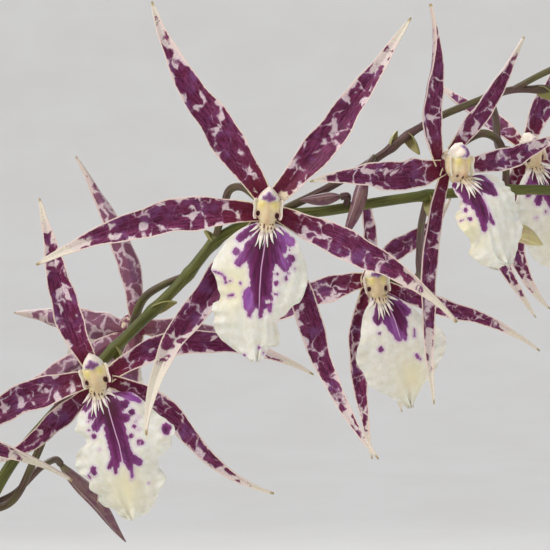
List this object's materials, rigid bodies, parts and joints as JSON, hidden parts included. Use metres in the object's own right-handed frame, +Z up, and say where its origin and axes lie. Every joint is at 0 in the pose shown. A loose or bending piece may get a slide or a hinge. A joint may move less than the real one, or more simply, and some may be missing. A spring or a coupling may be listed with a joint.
{
  "type": "potted miltassia orchid",
  "caption": "Potted orchid with strap leaves and pseudobulbs in bark, and one arching, branched spray of star-shaped purple blotched blooms with white, purple marked lips.",
  "frame": {"origin": "centre of the pot's flat underside, at the level it stands on", "axes": "+Z up, +X to the right of the picture, the way the flower spray arches, +Y away from the eye"},
  "size_m": [0.568, 0.2982, 0.58],
  "materials": {
    "clay": "unglazed fired clay, matt",
    "bark_mix": "broken bark chips, rough",
    "pseudobulb": "stands in for living bulb tissue, satin green with faint ribs",
    "root": "stands in for pale spongy root, matt",
    "leaf": "stands in for a strap leaf, satin mid green",
    "husk": "dry papery sheath, straw brown",
    "flower_stem": "stands in for a living stem, olive green to brown purple",
    "tepal": "stands in for a tepal, wine purple blotches on pale cream, soft satin",
    "lip": "stands in for a lip, white with purple marks, soft satin",
    "column": "stands in for a fleshy column, waxy cream yellow",
    "bud": "stands in for a closed bud, brown purple, soft satin",
    "pale_bud": "stands in for a closed bud, pale cream green, soft satin"
  },
  "bodies": {
    "root": {"pot": "clay", "bark": "bark_mix", "pseudobulbs": "pseudobulb", "root_front": "root", "root_right": "root", "root_rear": "root", "leaf_tall_right": "leaf", "leaf_tall_left": "leaf", "leaf_base_left": "leaf", "leaf_base_right": "leaf", "leaf_middle_right": "leaf", "leaf_middle_left": "leaf", "leaf_middle_base": "leaf", "leaf_shoot_outer_right": "leaf", "leaf_shoot_outer_left": "leaf", "leaf_shoot_inner_right": "leaf", "leaf_shoot_inner_left": "leaf", "husk_old_bulb": "husk", "husk_middle_bulb": "husk", "flower_stem": "flower_stem", "bloom_front_tepals": "tepal", "bloom_front_lip": "lip", "bloom_front_column": "column", "bloom_lower_tepals": "tepal", "bloom_lower_lip": "lip", "bloom_lower_column": "column", "bloom_upper_tepals": "tepal", "bloom_upper_lip": "lip", "bloom_upper_column": "column", "bloom_turned_away_tepals": "tepal", "bloom_turned_away_lip": "lip", "bloom_turned_away_column": "column", "bloom_behind_tepals": "tepal", "bloom_behind_lip": "lip", "bloom_behind_column": "column", "bloom_end_tepals": "tepal", "bloom_end_lip": "lip", "bloom_end_column": "column", "bloom_side_tepals": "tepal", "bloom_side_lip": "lip", "bloom_side_column": "column", "bud_hanging_left": "bud", "bud_hanging_middle": "bud", "bud_on_node": "bud", "bud_pale": "pale_bud", "bud_upper_side": "bud", "bud_branch_middle": "bud", "bud_branch_tip": "pale_bud", "bud_end_upper": "bud", "bud_end_lower": "bud", "bud_end_tip": "pale_bud"}
  },
  "joints": []
}
